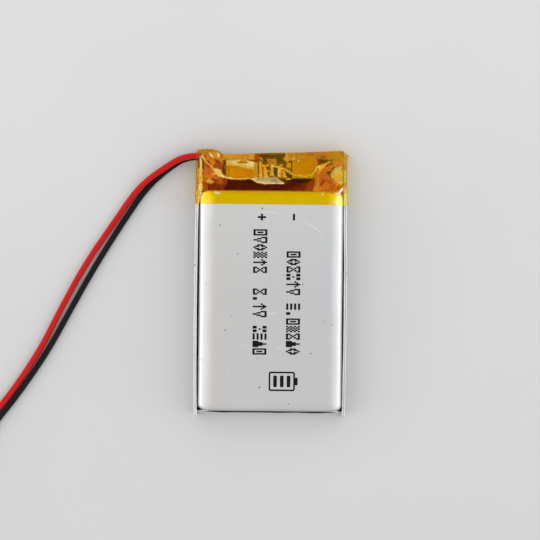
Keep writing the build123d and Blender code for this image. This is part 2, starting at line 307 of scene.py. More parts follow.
def foil_material(name, left, right, polish):
    """Satin aluminium laminate: a fine drawn grain, warm and cool patches, specks and faint scratches, lighter towards
    the head; under the tape a painted highlight brightens it towards its side shoulders.
    """
    s = Shader(name, Metallic=1.0)
    grain = s.noise((6.0, 0.6, 6.0), 4.0, 0.6)
    patches = s.noise((0.09, 0.05, 0.09), 2.0)
    side = s.maths("MULTIPLY_ADD", s.axis("X"), 1 / (24 * MM), 0.5)
    tint = s.ramp(side, (0.0, left), (1.0, right))
    wear_and_highlight = s.mix(s.ramp(grain, (0.35, 0.0), (0.75, 0.4)), tint, (0.54, 0.54, 0.545))
    wear_and_highlight = s.mix(s.ramp(patches, (0.35, 0.0), (0.7, 0.5)), wear_and_highlight, (0.515, 0.51, 0.51))
    upward = s.maths("MULTIPLY_ADD", s.axis("Y"), 1 / (22 * MM), 0.1)
    wear_and_highlight = s.mix(s.ramp(upward, (0.0, 0.0), (1.0, 0.5)), wear_and_highlight, (0.68, 0.68, 0.675))
    under_tape = s.maths("GREATER_THAN", s.axis("Y"), TAPE_START_Y * MM)
    # Under the tape the foil turns brighter towards the side shoulders: a painted highlight.
    edgeward = s.maths("DIVIDE", s.maths("ABSOLUTE", s.axis("X")), 12 * MM)
    covered_with_painted_highlight = s.ramp(edgeward, (0.74, (0.69, 0.69, 0.685)), (0.88, (0.95, 0.95, 0.94)))
    wear_and_highlight = s.mix(under_tape, wear_and_highlight, covered_with_painted_highlight)
    uneven = s.maths("MULTIPLY_ADD", s.noise(1.7, 1.0), 0.06, -0.03)
    fleck = s.ramp(s.maths("ADD", s.spots((0.33, 0.37, 0.33)), uneven), (0.01, 1.0), (0.03, 0.0))
    wear_and_highlight = s.mix(fleck, wear_and_highlight, (0.85, 0.85, 0.85))
    speck = s.ramp(s.maths("ADD", s.spots(0.46), uneven), (0.035, 1.0), (0.07, 0.0))
    wear_and_highlight = s.mix(speck, wear_and_highlight, (0.10, 0.10, 0.12))
    wave = s.node("ShaderNodeTexWave", wave_type="RINGS", rings_direction="Z")
    s.set(wave, Vector=s.scaled((0.055, 0.055, 0.0)), Scale=1.0, Distortion=3.0, Detail=2.0)
    thin = s.ramp(wave.outputs["Fac"], (0.0, 1.0), (0.009, 0.0))
    broken = s.ramp(s.noise(0.28, 1.0), (0.56, 0.0), (0.64, 1.0))
    scratch = s.maths("MULTIPLY", thin, broken)
    s.finish(wear_and_highlight, s.mix(scratch, s.ramp(patches, (0.2, polish), (0.8, polish * 1.4)), (0.6, 0.6, 0.6)))
    height = s.maths("MULTIPLY_ADD", grain, 0.5, s.noise(9.0, 2.0))
    s.bump(s.maths("MULTIPLY_ADD", scratch, -2.0, height), 0.006)
    return s.material


def film_material():
    """Amber film: tinted by its number of layers, milky where it is crumpled, glossy where light glances off; its
    layers and haze also carry painted shade and painted highlights, and each crumpled facet gets its own painted
    shading and sheen.
    """
    s = Shader("polyimide_tape", IOR=1.55, Specular_IOR_Level=0.15)
    layers_and_shade = s.node("ShaderNodeAttribute", attribute_name="layers_and_shade").outputs["Fac"]
    haze_and_glint = s.node("ShaderNodeAttribute", attribute_name="haze_and_glint").outputs["Fac"]
    mottle = s.noise(0.5)
    streaks = s.noise((1.5, 6.0, 1.5), 3.0, 0.6)
    bent = s.node("ShaderNodeVectorMath", operation="ADD")
    s.feed(bent.inputs[0], s.scaled((0.75, 0.75, 0.4)))
    s.feed(bent.inputs[1], mottle)
    facet = s.set(s.node("ShaderNodeSeparateColor"), Color=s.cells(bent.outputs[0])["Color"])
    # Thin pale lines along the cells' edges: painted highlights on the creases.
    crease_glint_cells = s.cells(bent.outputs[0], feature="DISTANCE_TO_EDGE")
    ridge = s.ramp(crease_glint_cells["Distance"], (0.0, 1.0), (0.05, 0.0))
    crumpled = s.ramp(haze_and_glint, (0.25, 0.0), (0.5, 1.0))
    uneven = s.maths("MULTIPLY_ADD", s.maths("SUBTRACT", mottle, 0.5), 0.6, layers_and_shade)
    # Each crumpled facet is tinted a little deeper or paler: painted shading of its tilt.
    painted_facet_shade = s.maths("MULTIPLY", s.maths("SUBTRACT", facet.outputs[0], 0.45), crumpled)
    depth = s.maths("DIVIDE", s.maths("MULTIPLY_ADD", painted_facet_shade, 0.9, uneven), 4.0)
    tint = s.ramp(
        depth, (0.0, (1.0, 1.0, 0.95)), (0.25, (0.99, 0.895, 0.20)), (0.5, (0.98, 0.80, 0.06)),
        (0.75, (0.95, 0.68, 0.02)), (1.0, (0.92, 0.56, 0.01)),
    )
    body = s.ramp(
        depth, (0.0, (0.90, 0.82, 0.66)), (0.12, (0.86, 0.70, 0.30)), (0.25, (0.80, 0.52, 0.05)),
        (0.5, (0.74, 0.34, 0.015)), (0.75, (0.70, 0.20, 0.004)), (1.0, (0.50, 0.08, 0.003)),
    )
    clear = s.set(s.node("ShaderNodeBsdfTransparent"), Color=tint)
    milky = s.mix(s.ramp(streaks, (0.4, 0.0), (0.75, 0.35)), body, (0.45, 0.13, 0.01))
    s.finish(milky, s.ramp(mottle, (0.3, 0.12), (0.7, 0.24)))
    s.bump(s.noise(2.2, 3.0, 0.6), 0.025)
    glance = s.node("ShaderNodeLayerWeight").outputs["Facing"]
    gleam = s.maths("MULTIPLY", s.maths("POWER", glance, 4.0), 0.8)
    # The milky share: haze, streaks, a painted sheen that differs facet by facet, and the painted crease highlights.
    patchy = s.maths("MULTIPLY", haze_and_glint, s.ramp(streaks, (0.3, 0.7), (0.7, 1.2)))
    patchy = s.maths("MULTIPLY", patchy, s.maths("MULTIPLY_ADD", facet.outputs[1], 0.5, 0.75))
    patchy = s.maths("MULTIPLY_ADD", s.maths("MULTIPLY", ridge, crumpled), 0.3, patchy)
    share = s.maths("MINIMUM", s.maths("ADD", gleam, patchy), 0.95)
    mixed = s.node("ShaderNodeMixShader")
    for socket, source in zip(mixed.inputs, (share, clear.outputs[0], s.surface.outputs[0])):
        s.feed(socket, source)
    s.set(s.tree.nodes["Material Output"], Surface=mixed.outputs[0])
    return s.material


def plain_material(name, colour, rough, metallic, grain, spread=0.12, height=0.004, **values):
    """A named finish with fine variation in its colour, roughness and height."""
    s = Shader(name, Metallic=metallic, **values)
    fine = s.noise(grain, 4.0)
    darker = tuple(c * (1 - spread) for c in colour)
    lighter = tuple(min(1.0, c * (1 + spread)) for c in colour)
    tone = s.ramp(fine, (0.3, darker), (0.7, lighter))
    s.finish(tone, s.ramp(fine, (0.3, rough * 0.85), (0.7, min(1.0, rough * 1.2))))
    s.bump(fine, height)
    return s.material


def insulation_material(name, colour, painted_sheen):
    """Smooth extruded PVC, faintly uneven, with dusty scuffs that also lighten its colour: partly dust, partly a
    painted sheen.
    """
    s = Shader(name, Specular_IOR_Level=0.15)
    dust = s.noise(0.5, 5.0, 0.6)
    # The scuffs mix in a lighter colour, partly a painted sheen.
    tone = s.mix(s.ramp(dust, (0.5, 0.0), (0.8, 0.25)), colour, painted_sheen)
    s.finish(tone, s.ramp(dust, (0.3, 0.26), (0.7, 0.4)))
    s.bump(s.noise(1.6, 4.0), 0.01, 0.4)
    return s.material


def floor_material():
    """Pale matt board with a faint mottle, painted shade that darkens it towards the foot, and a few specks of dust.
    """
    s = Shader("table_top", Specular_IOR_Level=0.2)
    tone = s.ramp(s.noise(0.02), (0.3, (0.575, 0.575, 0.577)), (0.7, (0.595, 0.595, 0.597)))
    # Darker towards the foot: painted shade, as of light falling off away from the head.
    upward = s.maths("MULTIPLY_ADD", s.axis("Y"), 1 / (110 * MM), 0.5)
    painted_shade = s.mix(1.0, tone, (0.90, 0.895, 0.90), "MULTIPLY")
    tone = s.mix(s.ramp(upward, (0.0, 0.0), (1.0, 1.0)), painted_shade, tone)
    dust = s.ramp(s.spots(0.055), (0.004, 1.0), (0.009, 0.0))
    s.finish(s.mix(s.maths("MULTIPLY", dust, 0.35), tone, (0.25, 0.24, 0.23)), 0.75)
    return s.material


# ---- Mesh helpers
def add_piece(name, shape, material, slot="foil_laminate", smooth=True):
    """A mesh piece from (points, faces) in millimetres, riding on the cell."""
    vertices, faces = shape
    mesh = bpy.data.meshes.new(name)
    mesh.from_pydata([(x * MM, y * MM, z * MM) for x, y, z in vertices], [], faces)
    mesh.update()
    if smooth:
        mesh.shade_smooth()
    mesh.materials.append(material)
    piece = add_object(name, mesh)
    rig.ride(piece, ROOT)
    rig.slot(piece, slot)
    return piece


def sheet(rows, wrap=False):
    """Points and faces of a surface through rows of points; wrap joins each row's last point to its first."""
    count = len(rows[0])
    faces = []
    for j in range(len(rows) - 1):
        a, b = j * count, (j + 1) * count
        for i in range(count if wrap else count - 1):
            k = (i + 1) % count
            faces.append((a + i, a + k, b + k, b + i))
    return [point for row in rows for point in row], faces


def bar(rows):
    """Points and faces of a solid through closed outlines, its two ends closed."""
    points, faces = sheet(rows, wrap=True)
    count = len(rows[0])
    return points, faces + [tuple(range(count))[::-1], tuple(range(len(points) - count, len(points)))]


def joined(shapes):
    """Several (points, faces) shapes as one."""
    vertices, faces = [], []
    for points, sides in shapes:
        start = len(vertices)
        vertices += list(points)
        faces += [tuple(start + i for i in side) for side in sides]
    return vertices, faces


def tidy_mesh(piece, merge=0.0005, triangles=False):
    """Joins points that coincide, splits many-sided faces if asked to, and turns every face outward."""
    shape = bmesh.new()
    shape.from_mesh(piece.data)
    bmesh.ops.remove_doubles(shape, verts=shape.verts, dist=merge * MM)
    if triangles:
        bmesh.ops.triangulate(shape, faces=[f for f in shape.faces if len(f.verts) > 4])
    bmesh.ops.recalc_face_normals(shape, faces=shape.faces)
    shape.to_mesh(piece.data)
    shape.free()


def thicken(piece, thickness):
    """Gives a sheet its thickness, in millimetres, inward from its outer face."""
    film = piece.modifiers.new("film", "SOLIDIFY")
    film.thickness = thickness * MM
    film.offset = -1


def spread(low, high, step):
    """Evenly spaced numbers from low to high, about step apart."""
    count = max(1, round((high - low) / step))
    return [low + (high - low) * i / count for i in range(count + 1)]


def wobble(x, y, z, scale, seed=0.0):
    """Smooth noise from -1 to 1 at a point in millimetres."""
    return noise.noise(Vector((x / scale + seed, y / scale, z / scale + seed)))


# ---- Leads: each route is its insulation's centreline, from its solder joint to its bare tip
red_route = [
    (-2.0, 20.66, 2.08), (-7.6, 20.7, 2.09), (-14.2, 21.15, 1.98), (-18.3, 18.5, 1.55), (-20.7, 16.7, 1.35),
    (-22.8, 14.6, FLOOR_Z), (-26.0, 9.8, FLOOR_Z), (-30.5, 3.2, FLOOR_Z), (-34.7, -4.6, FLOOR_Z),
    (-38.0, -11.4, FLOOR_Z), (-43.1, -19.1, FLOOR_Z), (-47.9, -24.8, FLOOR_Z), (-50.6, -30.6, FLOOR_Z),
    (-51.4, -37.4, FLOOR_Z),
]
black_route = [
    (1.9, 20.66, 1.08), (-3.6, 20.73, 0.95), (-9.2, 20.7, 0.95), (-14.1, 20.85, 0.87), (-17.8, 18.3, FLOOR_Z),
    (-21.0, 15.2, FLOOR_Z), (-24.2, 10.4, FLOOR_Z), (-28.6, 3.4, FLOOR_Z), (-33.1, -4.7, FLOOR_Z),
    (-36.8, -11.7, FLOOR_Z), (-41.9, -19.2, FLOOR_Z), (-46.4, -24.8, FLOOR_Z), (-48.6, -31.3, FLOOR_Z),
    (-49.0, -38.4, FLOOR_Z),
]
STRAND_RADIUS = 0.085
STRAND_RING = 0.17  # from the middle strand's centre to the others'
TWIST = 0.75  # turns over the tip's length
CORE_RADIUS = 0.24  # the strands together, under the tape


def lead_curve(colour, route, material):
    """The insulation, as one smooth line along the route."""
    curve = bpy.data.curves.new(f"{colour}_lead", "CURVE")
    curve.dimensions = "3D"
    curve.resolution_u = 10
    curve.bevel_depth = LEAD_DIAMETER / 2 * MM
    curve.bevel_resolution = 6
    curve.use_fill_caps = True
    spline = curve.splines.new("NURBS")
    spline.points.add(len(route) - 1)
    for point, (x, y, z) in zip(spline.points, route):
        point.co = (x * MM, y * MM, z * MM, 1)
    spline.order_u = 3
    spline.use_endpoint_u = True
    curve.materials.append(material)
    lead = add_object(f"{colour}_lead", curve)
    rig.ride(lead, ROOT)
    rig.slot(lead, f"{colour}_insulation")
    return lead


def square_to(along):
    """Two directions square to a third: one level, one as upright as it can be."""
    across = along.cross(Vector((0, 0, 1))).normalized()
    return across, across.cross(along)


def tube(points, radius, sides=8):
    """Points and faces of a round bar with closed ends along a list of points."""
    points = [Vector(p) for p in points]
    rows = []
    for i, point in enumerate(points):
        ahead = points[min(i + 1, len(points) - 1)] - points[max(i - 1, 0)]
        across, above = square_to(ahead.normalized())
        angles = [math.tau * k / sides for k in range(sides)]
        rows.append([point + radius * (math.cos(a) * across + math.sin(a) * above) for a in angles])
    return bar(rows)


def bezier(points, steps):
    """Points on the Bezier curve of a few control points."""
    line = []
    for i in range(steps + 1):
        level = [Vector(p) for p in points]
        while len(level) > 1:
            level = [a.lerp(b, i / steps) for a, b in zip(level, level[1:])]
        line.append(level[0])
    return line


def conductor(name, route, pad, material):
    """The bare strands: a twisted, tinned tip at the far end, and a short run to the pad inside."""
    end = Vector(route[-1])
    along = (end - Vector(route[-2])).normalized()
    across, above = square_to(along)
    shapes = []
    for k in range(7):
        line = []
        for i in range(25):
            t = i / 24
            angle = math.tau * (k / 6 + TWIST * t)
            reach = 0 if k == 6 else STRAND_RING * (1 - 0.25 * max(0, t - 0.85) / 0.15)
            offset = reach * (math.cos(angle) * across + math.sin(angle) * above)
            line.append(end + along * (TIN_LENGTH * t - 0.5 + 0.06 * math.sin(k * 2.3)) + offset)
        shapes.append(tube(line, STRAND_RADIUS))
    start = Vector(route[0])
    inward = (start - Vector(route[1])).normalized()
    run = bezier([start - inward * 0.5, start, start + inward * 0.75, pad], 12)
    shapes.append(tube(run, CORE_RADIUS, 12))
    return add_piece(name, joined(shapes), material, "tinned_copper")


def make_leads(materials):
    pad_z = box_mm("circuit_board")[1].z + 0.3
    leads = (
        ("red", red_route, (-1.7, 19.6, pad_z), 1.98, 0.0830),
        ("black", black_route, (2.75, 19.45, pad_z), 0.9, 0.0861),
    )
    for colour, route, pad, exit_z, length in leads:
        insulation = lead_curve(colour, route, materials[f"{colour}_insulation"])
        strands = conductor(f"{colour}_lead_strands", route, pad, materials["tinned_copper"])
        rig.replaces(insulation, f"{colour}_lead_insulation")
        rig.replaces(strands, f"{colour}_lead_conductor")
        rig.cord(
            insulation, exit=(-TAPE_SIDE_X * MM, 20.8 * MM, exit_z * MM), length=length,
            diameter=LEAD_DIAMETER * MM, far_end="bare", stiffness="limp", lay="loose", with_pieces=[strands],
        )


# ---- Pouch
SHOULDER_WIDTH = {"left": 2.7, "right": 2.15, "head": 2.0, "foot": 1.5}
SHOULDER_DROP = 1.15
BULGE = {"left": 0.13, "right": 0.22}  # the walls stand out a little between their seams
SIDES = {-1: "left", 1: "right"}
CORNER_POWER = 3.2
CUP_STEP = 0.45  # between the points of the cup's mesh
SHOULDER_RINGS = 14


def face_wave(x, y):
    """The front face's slight pillow and its shallow, uneven hollows."""
    u = min(1.0, abs(x) / 9.0)
    v = min(1.0, abs(y + 2.8) / 16.0)
    return 0.04 * (1 - u**2) * (1 - v**4) + (1 - u**6) * (1 - v**6) * 0.02 * wobble(x, y, 0, 7.0)


def shoulder_z(x, y, reach):
    """Height of the cup's front at a share of the shoulder's width, from its flat (0) to its edge (1)."""
    drop = SHOULDER_DROP * (1 - math.sqrt(max(0.0, 1 - reach**2)))
    return FRONT_Z - drop + face_wave(x, y) * (1 - reach)


def cup_surface(x, y):
    """Height of the cup's front at (x, y), or None outside it."""
    side = "left" if x < 0 else "right"
    across = max(0.0, (abs(x) - CUP_HALF_X - BULGE[side] + SHOULDER_WIDTH[side]) / SHOULDER_WIDTH[side])
    if y > 0:
        along = max(0.0, (y - CUP_HEAD_Y + SHOULDER_WIDTH["head"]) / SHOULDER_WIDTH["head"])
    else:
        along = max(0.0, (CUP_FOOT_Y + SHOULDER_WIDTH["foot"] - y) / SHOULDER_WIDTH["foot"])
    reach = (across**CORNER_POWER + along**CORNER_POWER) ** (1 / CORNER_POWER)
    return None if reach > 1 else shoulder_z(x, y, reach)


def cup_ring(reach):
    """The front's level line at a share of the shoulder's width, from its flat (0) to its edge (1)."""
    left, right, head, foot = SHOULDER_WIDTH.values()
    x0, x1 = -CUP_HALF_X - BULGE["left"] + left, CUP_HALF_X + BULGE["right"] - right
    y0, y1 = CUP_FOOT_Y + foot, CUP_HEAD_Y - head
    corners = [(x1, y1, right, head, 0), (x0, y1, left, head, 1), (x0, y0, left, foot, 2), (x1, y0, right, foot, 3)]
    line = []
    for k, (x, y, wide, deep, quarter) in enumerate(corners):
        for i in range(13):
            angle = math.pi / 2 * i / 12
            c = max(0.0, math.cos(angle)) ** (2 / CORNER_POWER)
            d = max(0.0, math.sin(angle)) ** (2 / CORNER_POWER)
            u, v = ((c, d), (-d, c), (-c, -d), (d, -c))[quarter]
            line.append((x + wide * reach * u, y + deep * reach * v))
        following = corners[(k + 1) % 4]
        length = abs(following[0] - x) + abs(following[1] - y)
        ax, ay = line[-1]
        u, v = ((0, 1), (-1, 0), (0, -1), (1, 0))[quarter]
        bx, by = following[0] + following[2] * reach * u, following[1] + following[3] * reach * v
        count = round(length / CUP_STEP)
        line += [(ax + (bx - ax) * i / count, ay + (by - ay) * i / count) for i in range(1, count)]
    return line


def make_cup(material):
    """The drawn cup as a thin shell, open at the back."""
    rings = []
    for z in spread(SEAL_Z, FRONT_Z - SHOULDER_DROP, CUP_STEP)[:-1]:
        row = []
        for x, y in cup_ring(1.0):
            sway = 0.05 * wobble(x, y, z, 4.0, 3.0)
            row.append((x * (1 + sway / 12), y + sway * 0.4, z))
        rings.append(row)
    for k in range(SHOULDER_RINGS + 1):
        reach = math.cos(math.pi / 2 * k / SHOULDER_RINGS) if k < SHOULDER_RINGS else 0.0
        bow = 0.5 * (reach - reach**3)
        line = [(x + bow * wobble(x, y, 0, 5.0, 9.0), y) for x, y in cup_ring(reach)]
        rings.append([(x, y, shoulder_z(x, y, reach)) for x, y in line])
    xs, ys = (spread(min(values), max(values), CUP_STEP) for values in zip(*cup_ring(0.0)))
    face = [[(x, y, FRONT_Z + face_wave(x, y)) for x in xs] for y in ys]
    cup = add_piece("foil_cup", joined([sheet(rings, wrap=True), sheet(face)]), material)
    tidy_mesh(cup)
    thicken(cup, 0.15)
    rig.replaces(cup, "pouch_cup")


def fold_section(side, y):
    """One side seal seen from its end: two folded layers, side by side, with a crease between them."""
    lean = 0.16 * math.sin(math.pi * (y - FOLD_TAIL_Y) / (TAPE_START_Y - FOLD_TAIL_Y)) if y < TAPE_START_Y else 0
    lean += 0.05 * wobble(side * 30, y, 0, 6.0)
    top = FOLD_TOP_Z + 0.06 * wobble(side * 9, y, 2, 4.0)
    terrace = y - CUP_HEAD_Y + 0.8  # the folds run down beside the terrace
    if terrace > 0:
        top -= 0.85 * min(1.0, terrace / 2.4) ** 1.5 * 2.4
    crease = 0.35 + 0.1 * wobble(side * 5, y, 5, 2.0)
    inner, outer = FOLD_OUTER_X - 0.6, FOLD_OUTER_X
    middle = (inner + outer) / 2 + 0.02 * wobble(side, y, 7, 2.5)
    half = [
        (inner, 0.10), (inner, 1.6), (inner, 3.2), (inner, top - 0.26), (inner + 0.05, top - 0.09),
        (inner + 0.13, top), (middle - 0.09, top - 0.06), (middle, top - crease), (middle + 0.09, top - 0.08),
        (outer - 0.12, top - 0.03), (outer - 0.04, top - 0.12), (outer, top - 0.3), (outer, 3.2), (outer, 1.6),
        (outer - 0.02, 1.0), (outer - 0.16, 0.95), (outer - 0.16, 0.10),
    ]
    return [(side * (x + lean * (z / FOLD_TOP_Z) ** 2), y, z) for x, z in half]


def make_fold(side, material):
    rows = [fold_section(side, y) for y in spread(FOLD_TAIL_Y, TERRACE_END_Y, 0.35)]
    tidy_mesh(add_piece(f"{SIDES[side]}_side_fold", bar(rows), material))


def make_back(material):
    """The flat half of the laminate, with an uneven edge at the foot."""
    xs = spread(-FOLD_OUTER_X + 0.1, FOLD_OUTER_X - 0.1, 0.6)
    ys = spread(CUP_FOOT_Y - 0.28, TERRACE_END_Y, 0.6)
    top, bottom = [], []
    for y in ys:
        lip = 0.07 * wobble(0, 0, y, 3.0)
        low = 0.0 if y < TAPE_START_Y else 0.08
        line = [(x, y + (0.12 * wobble(x, 0, 0, 5.0, 2.0) if y == ys[0] else 0)) for x in xs]
        top.append([(x, edge_y, SEAL_Z + 0.02 * lip) for x, edge_y in line])
        bottom.append([(x, edge_y, low + 0.006 * (1 + wobble(x, y, 0, 4.0))) for x, edge_y in line])
    columns, rows = len(xs), len(ys)
    rim = list(range(columns))
    rim += [j * columns + columns - 1 for j in range(1, rows)]
    rim += [(rows - 1) * columns + i for i in range(columns - 2, -1, -1)]
    rim += [j * columns for j in range(rows - 2, 0, -1)]
    vertices, faces = joined([sheet(top), sheet(bottom)])
    shift = columns * rows
    faces += [(a, b, b + shift, a + shift) for a, b in zip(rim, rim[1:] + rim[:1])]
    back = add_piece("foil_back", (vertices, faces), material)
    tidy_mesh(back)
    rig.replaces(back, "pouch_back_sheet")


def make_terrace(material):
    """The head seal: the cup's flange, raised over each tab."""
    tabs = [(-4.9, 3.2), (5.45, 3.2)]  # each tab's middle and half its width
    rows = []
    for y in spread(CUP_HEAD_Y - 0.15, TERRACE_END_Y, 0.3):
        row = []
        for x in spread(-FOLD_OUTER_X + 0.5, FOLD_OUTER_X - 0.5, 0.3):
            ridge = max(min(1.0, max(0.0, (half + 0.3 - abs(x - centre)) / 0.3)) for centre, half in tabs)
            row.append((x, y, SEAL_Z + 0.15 + 0.2 * ridge + 0.01 * wobble(x, y, 0, 1.0)))
        rows.append(row)
    terrace = add_piece("head_seal", sheet(rows), material)
    tidy_mesh(terrace)
    thicken(terrace, 0.13)


def make_gusset(side, material):
    """The spare corner at the foot: a flat ear folded against the end wall."""
    outer = CUP_HALF_X + 0.3
    levels = spread(0.15, 4.3, 0.4)
    outline = [(0.0, -0.05), (0.0, -0.52), (0.9, -0.42), (2.2, -0.24), (3.9, -0.06), (3.9, 0.06), (2.2, 0.05)]
    rows = []
    for z in levels:
        rise = (z / levels[-1]) ** 3
        row = []
        for reach, depth in outline:
            x = outer - reach * (1 - 0.25 * rise)
            y = CUP_FOOT_Y + 0.08 + depth * (1 - 0.35 * rise) + 0.04 * wobble(reach * 2, z, side * 4, 1.5)
            row.append((side * x, y, z))
        rows.append(row)
    tidy_mesh(add_piece(f"{SIDES[side]}_foot_gusset", bar(rows), material))


def make_foot_lip(material):
    """The crease of the laminate at the foot: a low lip that stands just off the end wall."""
    rows = []
    for x in spread(-CUP_HALF_X + 0.5, CUP_HALF_X - 0.5, 0.35):
        share = min(1.0, (CUP_HALF_X - abs(x)) / 3.0)
        gap = 0.16 + 0.14 * share + 0.05 * wobble(x, 0, 0, 3.0, 4.0)
        top = 4.1 - 0.7 * share + 0.2 * wobble(x, 3, 0, 2.5)
        section = [(-0.02, 0.12), (-gap, 0.16), (-gap - 0.03, top * 0.6), (-gap, top)]
        section += [(-gap - 0.05, top + 0.04), (-gap - 0.1, top), (-gap - 0.13, top * 0.6), (-gap - 0.1, 0.1)]
        rows.append([(x, CUP_FOOT_Y - 0.02 + y, z) for y, z in section])
    tidy_mesh(add_piece("foot_lip", bar(rows), material))


# ---- Tapes
# Height of the outer film over (x, y), in millimetres, where it is creased or held up
band_creases = [
    (-12.46, 12.9, 4.8), (-11.95, 12.9, 4.92), (-11.5, 12.9, 5.35), (-11, 12.9, 5.83), (-10.4, 12.9, 6.1),
    (-9.4, 12.9, 6.14), (-4, 12.9, 6.15), (4, 12.9, 6.15), (9.4, 12.9, 6.14), (10.4, 12.9, 6.1), (11, 12.9, 5.83),
    (11.5, 12.9, 5.35), (11.95, 12.9, 4.92), (12.46, 12.9, 4.8), (-12.46, 13.5, 4.78), (-11.5, 13.5, 5.28),
    (-10.4, 13.5, 6.02), (-9.4, 13.4, 6.13), (9.4, 13.4, 6.13), (10.4, 13.5, 6.02), (11.5, 13.5, 5.28),
    (12.46, 13.5, 4.78), (-3, 13.4, 6.15), (3, 13.4, 6.15), (-12.46, 14.3, 4.72), (-11.4, 14.3, 4.95),
    (-10.4, 14.2, 5.66), (-9.4, 14.1, 5.88), (-3, 14.1, 5.91), (3, 14.1, 5.91), (9.4, 14.1, 5.88), (10.4, 14.2, 5.66),
    (11.4, 14.3, 4.95), (12.46, 14.3, 4.72), (-11.2, 14.7, 4.72), (-10.2, 14.65, 5.3), (-9.2, 14.65, 5.46),
    (0, 14.65, 5.5), (9.2, 14.65, 5.46), (10.2, 14.65, 5.3), (11.2, 14.7, 4.72), (-12.46, 15.2, 4.35),
    (-11.1, 15.1, 4.42), (-9.8, 15.08, 4.8), (-6, 15.12, 4.95), (0, 15.1, 4.92), (6, 15.12, 4.95), (9, 15.05, 4.85),
    (10.6, 14.85, 4.8), (11.7, 15.9, 4.6), (12.46, 15.2, 4.4), (-12.46, 16.9, 3.3), (-11.4, 16.2, 4.1),
    (-10.9, 17.3, 3.25), (-10.3, 16.1, 3.75), (-9.9, 17.5, 3.85), (-9.3, 16.6, 3.35), (-8.9, 17.9, 3.1),
    (-8.5, 16.9, 3.6), (-7.9, 17.2, 2.95), (-10.2, 18.4, 3.05), (-9.2, 19.3, 3.75), (-11.3, 18.6, 3.7),
    (-10.7, 19.8, 3.2), (-8.1, 18.6, 2.8), (-8, 20.1, 2.85), (-11.6, 20.6, 3.4), (-10.3, 21, 3.95), (-9.2, 20.8, 3.2),
    (-8.6, 21.3, 3), (-12.46, 20.4, 3.05), (-5.5, 17.1, 2.86), (-2.5, 17, 2.84), (0, 17.05, 2.84), (3, 17, 2.86),
    (6.6, 17.3, 2.84), (-5.5, 18.3, 2.8), (-2.4, 18.2, 2.78), (0.4, 18.6, 2.82), (3.4, 18.3, 2.8), (6.9, 18.2, 2.86),
    (-6.6, 20.2, 2.92), (-3.8, 19.5, 2.98), (-2, 20.9, 2.82), (1, 20.4, 2.8), (4, 20.5, 2.84), (7.4, 17.6, 2.95),
    (7.6, 19.6, 3.05), (8, 16.3, 3.55), (9.6, 17, 3.3), (9.9, 15.9, 4.1), (11.4, 16.2, 4.45), (10.4, 17.9, 3.1),
    (9.8, 18.7, 3.3), (9.9, 20.4, 3.15), (11.6, 19.3, 3.7), (10.6, 19.6, 3.45), (11.5, 20.6, 3.6), (8.5, 20.9, 2.9),
    (12.46, 17.2, 3.35), (12.46, 19.4, 3.15),
]
band_outline = [
    (-12.46, 12.9, 4.8), (12.46, 12.9, 4.8), (12.46, 15.2, 4.4), (12.46, 17.2, 3.35), (12.46, 19.4, 3.15),
    (12.6, 20.5, 2.8), (12.75, 21.1, 2.65), (12.4, 21.35, 2.75), (11.95, 21.5, 2.95), (11.8, 21.92, 3.05),
    (5, 21.6, 2.8), (0, 21.5, 2.78), (-5, 21.28, 2.78), (-8.1, 21.25, 2.86), (-8.7, 21.7, 3.05), (-9.8, 22, 3.2),
    (-11, 22.02, 3.15), (-12.2, 21.9, 2.95), (-12.4, 21.4, 2.9), (-12.46, 20.4, 3.05), (-12.46, 18.6, 3.1),
    (-12.46, 16.9, 3.3), (-12.46, 15.2, 4.35),
]
